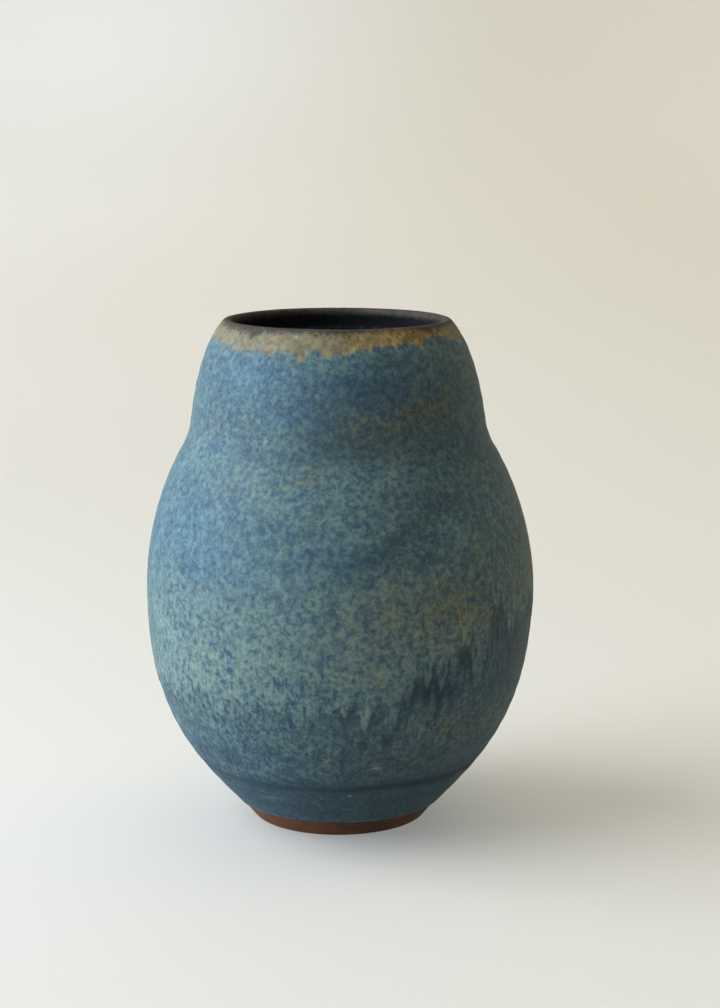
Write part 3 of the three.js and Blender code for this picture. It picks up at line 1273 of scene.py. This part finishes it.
@dataclass
class ThrownBody:
    """The clay of the pot: the turned foot, the belly section and the collar section.

    Attributes:
        wall: the wall in section.
        hand: what throwing by hand leaves on it.
        finish: the bare clay.
        depth: how far behind the glazed surface the clay lies.
        foot_bore: the radius of the recess in the foot.
        foot_recess: how deep that recess is.
        foot_setback: how far the bare foot sits back from the glazed surface.
        foot_edge: how far the foot's edges are eased.
        edge_step: the spacing of points round the foot's section.
        groove: the depth of the grooves that the turning tool leaves.
        groove_pitch: their spacing.
        ring_step: the spacing of points across the recess.
        belly_step: the spacing of points on the belly section.
        collar_step: the spacing of points on the collar section.
        columns: facets round the pot.
    """

    wall: Wall
    hand: Hand
    finish: BareStoneware = BareStoneware()
    depth: float = 1.1
    foot_bore: float = 27.0
    foot_recess: float = 4.0
    foot_setback: float = 0.6
    foot_edge: float = 0.9
    edge_step: float = 0.45
    groove: float = 0.05
    groove_pitch: float = 1.3
    ring_step: float = 0.8
    belly_step: float = 3.0
    collar_step: float = 2.0
    columns: int = 360

    def build(self) -> list[bpy.types.Object]:
        """Builds the three clay pieces and dresses them in bare stoneware.

        Returns:
            The pieces, from the foot up.
        """
        desk = self.finish.material()
        pieces = [self._foot(), self._belly(), self._collar()]
        slots = ("foot_clay", "body_clay", "body_clay")
        nodes = ("foot_ring", "belly_section", "collar_section")
        for piece, slot, node in zip(pieces, slots, nodes):
            desk.dress(piece)
            settle(piece, slot, node)
        return pieces

    def _tooling(self, angle: Array, height: Array) -> Array:
        """Gives the fine grooves that the turning tool leaves on the foot."""
        groove = self.groove * np.sin(2 * math.pi * (height + 0.4 * angle / 360) / self.groove_pitch)
        return groove + 0.07 * ripple(angle + 30 * height, (2, 5, 9), 29)

    def _foot(self) -> bpy.types.Object:
        """Turns the bevelled foot ring, with its edges softened by the sponge and by wear.

        Returns:
            The piece.
        """
        line = self.wall.glaze_line
        shoulder = self.wall.stretch((Side.OUTSIDE, line), (Side.OUTSIDE, 20), 1, self.foot_setback)[0]
        rim = np.array([self.wall.foot_radius, 0.0])
        top, bore = line + CLEARANCE, self.foot_bore
        corners = np.array([[bore, 0.0], rim, shoulder, [shoulder[0] - 0.3, top], [bore, top]])
        section = self._softened(corners, self.foot_edge)
        bevel = (section[:, 0] > rim[0] - 0.2) & (section[:, 1] > 0.3)
        turned = Section.moved(section, bevel)
        return Turning("foot_ring_clay", turned, self.columns, self._tooling, self.hand).make()

    def _softened(self, corners: Array, radius: float) -> Array:
        """Gives a closed outline with each corner eased by a small curve.

        Args:
            corners: the corners in turn.
            radius: how far from its corner a curve starts, where the sides are long enough.

        Returns:
            The outline's points at even steps.
        """
        points = []
        for i, corner in enumerate(corners):
            before, after = corners[i - 1], corners[(i + 1) % len(corners)]
            reach = [min(radius, np.linalg.norm(p - corner) / 3) for p in (before, after)]
            start = corner + (before - corner) / np.linalg.norm(before - corner) * reach[0]
            end = corner + (after - corner) / np.linalg.norm(after - corner) * reach[1]
            points.append(rounded(start, corner, end, 6))
        loop = np.concatenate([*points, points[0][:1]])
        return spaced(loop, self.edge_step)[:-1]

    def _belly(self) -> bpy.types.Object:
        """Turns the lower thrown section, whose recess under the foot shows the turning tool's rings.

        Returns:
            The piece.
        """
        wall, low = self.wall, self.wall.glaze_line + CLEARANCE
        inner, step = self.foot_bore - CLEARANCE, self.ring_step
        under = spaced(np.array([[0.0, self.foot_recess], [inner, self.foot_recess]]), step)
        rings = np.arange(1, len(under) - 1) * step
        under[1:-1, 1] += 0.12 * np.sin(rings * 2.1) + 0.25 * (rings / inner) ** 2
        joint, bottom = wall.waist_height, wall.floor_height
        face = wall.stretch((Side.OUTSIDE, low), (Side.OUTSIDE, joint), self.belly_step, self.depth)
        back = wall.stretch((Side.INSIDE, joint), (Side.INSIDE, bottom + 4), self.belly_step, self.depth)
        corner = wall.inside(self.depth)
        corner = spaced(corner[corner[:, 1] < bottom + 3], self.belly_step)
        section = Section.still(np.concatenate([under, [[inner, low]], face, back, corner]))
        return Turning("belly_clay", section, self.columns, self._tooling, self.hand).make()

    def _collar(self) -> bpy.types.Object:
        """Turns the upper thrown section, from the joint at the waist to the lip.

        Returns:
            The piece.
        """
        joint = self.wall.waist_height + CLEARANCE
        points = self.wall.stretch((Side.OUTSIDE, joint), (Side.INSIDE, joint), self.collar_step, self.depth)
        return Turning("collar_clay", Section.still(points), self.columns, self._tooling, self.hand).make()


@dataclass(frozen=True)
class Coat:
    """One coat of the outer glaze: the CAD node it stands for, its slot, its two ends and how fine it is."""

    node: str
    slot: str
    low: Place
    high: Place
    step: float
    back_step: float
    columns: int


@dataclass
class GlazeCoats:
    """The outer glaze: the ground coat, the second dip with its runs, and the iron band over the lip."""

    wall: Wall
    hand: Hand
    glazes: GlazeMap = GlazeMap()
    finish: DippedGlaze = DippedGlaze()

    def build(self) -> list[bpy.types.Object]:
        """Builds the three coats, paints where each glaze lies, and dresses them.

        Returns:
            The coats, from the foot up.
        """
        start = (Side.OUTSIDE, self.wall.glaze_line + CLEARANCE)
        run = (Side.OUTSIDE, (box_mm("base_glaze")[1][2] + box_mm("run_glaze")[0][2]) / 2)
        band = (Side.OUTSIDE, (box_mm("run_glaze")[1][2] + box_mm("lip_band")[0][2]) / 2)
        inner = (Side.INSIDE, box_mm("liner_glaze")[1][2])
        desk = self.finish.material()
        made = []
        for coat in (
            Coat("base_glaze", "base_glaze", start, run, 1.0, 4.0, 420),
            Coat("run_glaze", "run_glaze", run, band, 1.0, 4.0, 480),
            Coat("lip_band", "lip_glaze", band, inner, 0.45, 0.9, 720),
        ):
            turning = self._coat(coat)
            turning.paint(self.glazes.layers(turning.angle, turning.climb))
            desk.dress(turning.piece)
            settle(turning.piece, coat.slot, coat.node)
            made.append(turning.piece)
        return made

    def _coat(self, coat: Coat) -> Turning:
        """Turns one coat between its two ends on the skin.

        Args:
            coat: the coat.

        Returns:
            The turning, with its piece made.
        """
        face = self.wall.stretch(coat.low, coat.high, coat.step)
        back = self.wall.stretch(coat.low, coat.high, coat.back_step, self.wall.coat)
        wiped = coat.low[1] < self.wall.glaze_line + 1
        section = self._rolled(face, back) if wiped else shell(face, back)
        turning = Turning(f"{coat.node}_coat", section, coat.columns, self.relief, self.hand)
        turning.make()
        return turning

    def _rolled(self, face: Array, back: Array) -> Section:
        """Gives a coat's loop with the rolled edge that a glaze draws into above a wiped foot.

        Args:
            face: the outer surface of the coat.
            back: its surface against the clay, which runs the same way.

        Returns:
            The closed section.
        """
        thick = np.linalg.norm(face[0] - back[0])
        middle = (face[0] + back[0]) / 2
        across = (back[0] - face[0]) / thick
        down = -(face[1] - face[0]) / np.linalg.norm(face[1] - face[0])
        turn = np.linspace(0, math.pi, 7)[1:-1, None]
        bead = middle + thick / 2 * (np.cos(turn) * across + np.sin(turn) * down)
        return Section.moved(bead, np.linspace(0.2, 0.9, len(bead))).then(shell(face, back))

    def relief(self, angle: Array, height: Array) -> Array:
        """Gives the coat's whole relief: the thrown form under it, the second dip and the thin lip."""
        dip, band = self.glazes.dip, self.glazes.band
        return self.hand.relief(angle, height) + dip.relief(angle, height) + band.relief(angle, height)


@dataclass
class Liner:
    """The liner glaze over the whole inside of the pot."""

    wall: Wall
    hand: Hand
    finish: LinerGlaze = LinerGlaze()
    ring: float = 0.18
    ring_pitch: float = 9.0
    climb: float = 6.0
    columns: int = 300

    def build(self) -> list[bpy.types.Object]:
        """Turns the liner as a thin cup, and dresses it.

        Returns:
            The one piece, in a list.
        """
        top = box_mm("liner_glaze")[1][2]
        face = self._cup(top, 0.0, 1.5)
        back = self._cup(top, self.wall.coat, 4.0)
        section = Section.still(back[::-1]).then(Section.moved(face))
        piece = Turning("liner_coat", section, self.columns, self._rings, self.hand).make()
        self.finish.material().dress(piece)
        settle(piece, "liner_glaze", "liner_glaze")
        return [piece]

    def _cup(self, top: float, depth: float, step: float) -> Array:
        """Gives the inner surface from a height down to the axis.

        Args:
            top: the height where it starts.
            depth: how far behind the surface it lies.
            step: the distance between points.

        Returns:
            Points of radius and height.
        """
        whole = self.wall.inside(depth)
        start = self.wall.stretch((Side.INSIDE, top), (Side.INSIDE, top - 2), step, depth)[:1]
        return spaced(np.concatenate([start, whole[whole[:, 1] < top]]), step)

    def _rings(self, angle: Array, height: Array) -> Array:
        """Gives the throwing rings that fingers leave inside, deeper than those outside."""
        spiral = height + self.climb * angle / 360
        return self.ring * np.sin(2 * math.pi * spiral / self.ring_pitch) * eased(height, 16, 30)


# ---------------------------------------------------------------------------------------------------------
# The studio
# ---------------------------------------------------------------------------------------------------------


@dataclass(frozen=True)
class Daylight:
    """Far, even light: its strength, colour, spread in degrees, direction, and whether it casts shadows."""

    name: str
    strength: float
    colour: str
    spread: float
    azimuth: float
    elevation: float
    shadows: bool = True


@dataclass(frozen=True)
class SoftBox:
    """A near, soft square lamp: its watts, colour, side and distance in metres, direction and shadows."""

    name: str
    power: float
    colour: str
    side: float
    distance: float
    azimuth: float
    elevation: float
    shadows: bool = True


@dataclass
class Studio:
    """A plain pale sweep, soft light from the left, and the camera.

    Attributes:
        daylights: the far lights.
        boxes: the near lamps.
        sky: the colour of the room's even light, and sky_strength its strength.
        glow: the colour of the painted light that the sweep glows with, and glow_strength its strength.
        glow_reach: how far out that light reaches its full strength, in millimetres.
        glow_height: how high up the sweep it stops growing, in millimetres.
        glow_sides: the places along X where it starts and where it is full, in millimetres.
        paper: the sweep's colour, and paper_roughness and paper_gloss its surface.
        daylight_distance: where the far lights stand, in metres.
        aim: the point that the lights face, in metres.
        lens: the camera's focal length, in millimetres.
        camera_distance: how far in front of the pot the camera stands, in metres.
        camera_height: its height, in metres.
        pitch: how far it looks down, in degrees.
        yaw: how far it looks to the right, in degrees.
        floor_radius: where the sweep starts to bend up, in metres.
        bend_radius: the radius of its bend, in metres.
        wall_height: how high it goes, in metres.
        bend_steps: rows of vertices in the bend.
        facet: the angle of each of the sweep's facets, in degrees.
    """

    daylights: tuple[Daylight, ...] = (
        Daylight("window_light", 2.6, "#92bdff", 70, -85, 30),
        Daylight("room_bounce", 3.2, "#ffe99a", 64, -85, 30, shadows=False),
        Daylight("overhead_light", 1.15, "#fff5d8", 90, 180, 65),
    )
    boxes: tuple[SoftBox, ...] = (
        SoftBox("near_window_light", 11.0, "#c6ddff", 0.8, 1.0, -80, 22, shadows=False),
    )
    sky: str = "#ffe9c4"
    sky_strength: float = 0.09
    glow: str = "#d2e5ff"
    glow_strength: float = 0.22
    glow_reach: float = 1600.0
    glow_height: float = 500.0
    glow_sides: tuple[float, float] = (900.0, -1100.0)
    paper: str = "#cecdca"
    paper_roughness: float = 0.9
    paper_gloss: float = 0.2
    daylight_distance: float = 3.0
    aim: tuple[float, float, float] = (0.0, 0.0, 0.105)
    lens: float = 79.25
    camera_distance: float = 0.933
    camera_height: float = 0.3078
    pitch: float = 10.464
    yaw: float = 0.557
    floor_radius: float = 5.0
    bend_radius: float = 9.0
    wall_height: float = 3.0
    bend_steps: int = 24
    facet: int = 5

    def build(self) -> None:
        """Sets the sweep, the lights, the sky and the camera."""
        self._sweep()
        for light in self.daylights:
            self._daylight(light)
        for box in self.boxes:
            self._box(box)
        self._sky()
        self._camera()
        bpy.context.scene.view_settings.view_transform = "Standard"

    def _sweep(self) -> None:
        """Makes a round floor that curves up gently on every side, so that no corner shows."""
        bend = np.linspace(0, math.acos(1 - self.wall_height / self.bend_radius), self.bend_steps)
        radius = np.concatenate([[0.3, 1.2], self.floor_radius + self.bend_radius * np.sin(bend)])
        height = np.concatenate([[0.0, 0.0], self.bend_radius * (1 - np.cos(bend))])
        turn = np.radians(np.arange(0, 360, self.facet))
        x, y = radius[:, None] * np.sin(turn), -radius[:, None] * np.cos(turn)
        places = np.stack([x, y, np.repeat(height[:, None], len(turn), axis=1)], axis=-1).reshape(-1, 3)
        n = len(turn)
        faces = [
            (i * n + j, (i + 1) * n + j, (i + 1) * n + (j + 1) % n, i * n + (j + 1) % n)
            for i in range(len(radius) - 1)
            for j in range(n)
        ]
        faces.append(tuple(range(n)))
        mesh = bpy.data.meshes.new("paper_sweep")
        mesh.from_pydata(places.tolist(), [], faces)
        mesh.shade_smooth()
        sweep = bpy.data.objects.new("paper_sweep", mesh)
        bpy.context.scene.collection.objects.link(sweep)
        desk = ShaderDesk("matt_paper_painted_glow")
        desk.surface.inputs["Base Color"].default_value = linear(self.paper)
        desk.surface.inputs["Roughness"].default_value = self.paper_roughness
        desk.surface.inputs["Specular IOR Level"].default_value = self.paper_gloss
        self._paint_backdrop_glow(desk)
        desk.dress(sweep)
        sweep.visible_shadow = False

    def _paint_backdrop_glow(self, desk: ShaderDesk) -> None:
        """Paints light onto the sweep as a glow, more the further back it is, and on the window's side.

        Args:
            desk: the sweep's material.
        """
        place = add_node(desk.tree, "ShaderNodeSeparateXYZ", {0: desk.place}).outputs
        away = desk.add(Node.EASE, desk.add(Node.LENGTH, desk.place), 0.0, self.glow_reach)
        far = desk.add(Node.SUM, away, desk.add(Node.EASE, place["Z"], 0.0, self.glow_height, 0.0, 0.4))
        sideways = desk.add(Node.EASE, place["X"], *self.glow_sides)
        strength = desk.add(Node.PRODUCT, desk.add(Node.PRODUCT, far, sideways), self.glow_strength)
        desk.surface.inputs["Emission Color"].default_value = linear(self.glow)
        desk.tree.links.new(strength, desk.surface.inputs["Emission Strength"])

    def _daylight(self, light: Daylight) -> None:
        """Adds one far light, shining towards the pot.

        Args:
            light: the light's settings.
        """
        data = bpy.data.lights.new(light.name, "SUN")
        data.energy = light.strength
        data.color = linear(light.colour)[:3]
        data.angle = math.radians(light.spread)
        data.use_shadow = light.shadows
        self._stand(data, light.azimuth, light.elevation, self.daylight_distance)

    def _box(self, box: SoftBox) -> None:
        """Adds one near lamp, facing the pot.

        Args:
            box: the lamp's settings.
        """
        data = bpy.data.lights.new(box.name, "AREA")
        data.energy = box.power
        data.color = linear(box.colour)[:3]
        data.size = box.side
        data.use_shadow = box.shadows
        self._stand(data, box.azimuth, box.elevation, box.distance).visible_camera = False

    def _stand(
        self, data: bpy.types.Light, azimuth: float, elevation: float, distance: float
    ) -> bpy.types.Object:
        """Places a light round the pot and aims it at the pot's middle.

        Args:
            data: the light.
            azimuth: its direction in degrees, 0 in front of the pot and 90 on its right.
            elevation: how high it stands, in degrees.
            distance: how far away it stands, in metres.

        Returns:
            The light's object.
        """
        lamp = bpy.data.objects.new(data.name, data)
        bpy.context.scene.collection.objects.link(lamp)
        around, up = math.radians(azimuth), math.radians(elevation)
        away = Vector((math.sin(around) * math.cos(up), -math.cos(around) * math.cos(up), math.sin(up)))
        lamp.location = Vector(self.aim) + away * distance
        lamp.rotation_euler = away.to_track_quat("Z", "Y").to_euler()
        return lamp

    def _sky(self) -> None:
        """Sets the even light of the room."""
        world = bpy.data.worlds.new("room_light")
        bpy.context.scene.world = world
        world.use_nodes = True
        tree = world.node_tree
        tree.nodes.clear()
        light = {"Color": linear(self.sky), "Strength": self.sky_strength}
        glow = add_node(tree, "ShaderNodeBackground", light)
        add_node(tree, "ShaderNodeOutputWorld", {"Surface": glow.outputs[0]})

    def _camera(self) -> None:
        """Sets the camera in front of the pot, a little above its lip."""
        data = bpy.data.cameras.new("camera")
        data.lens = self.lens
        camera = bpy.data.objects.new("camera", data)
        bpy.context.scene.collection.objects.link(camera)
        camera.location = (0.0, -self.camera_distance, self.camera_height)
        camera.rotation_euler = (math.radians(90 - self.pitch), 0.0, math.radians(-self.yaw))
        bpy.context.scene.camera = camera


def main() -> None:
    """Builds the studio and the vase, and reports each piece."""
    logging.basicConfig(level=logging.INFO, format="%(name)s: %(message)s")
    Studio().build()
    wall, hand = Wall.from_frame(), Hand()
    for assembly in (ThrownBody(wall, hand), GlazeCoats(wall, hand), Liner(wall, hand)):
        for piece in assembly.build():
            log.info("%s: %s has %d faces", type(assembly).__name__, piece.name, len(piece.data.polygons))


if __name__ == "__main__":
    main()
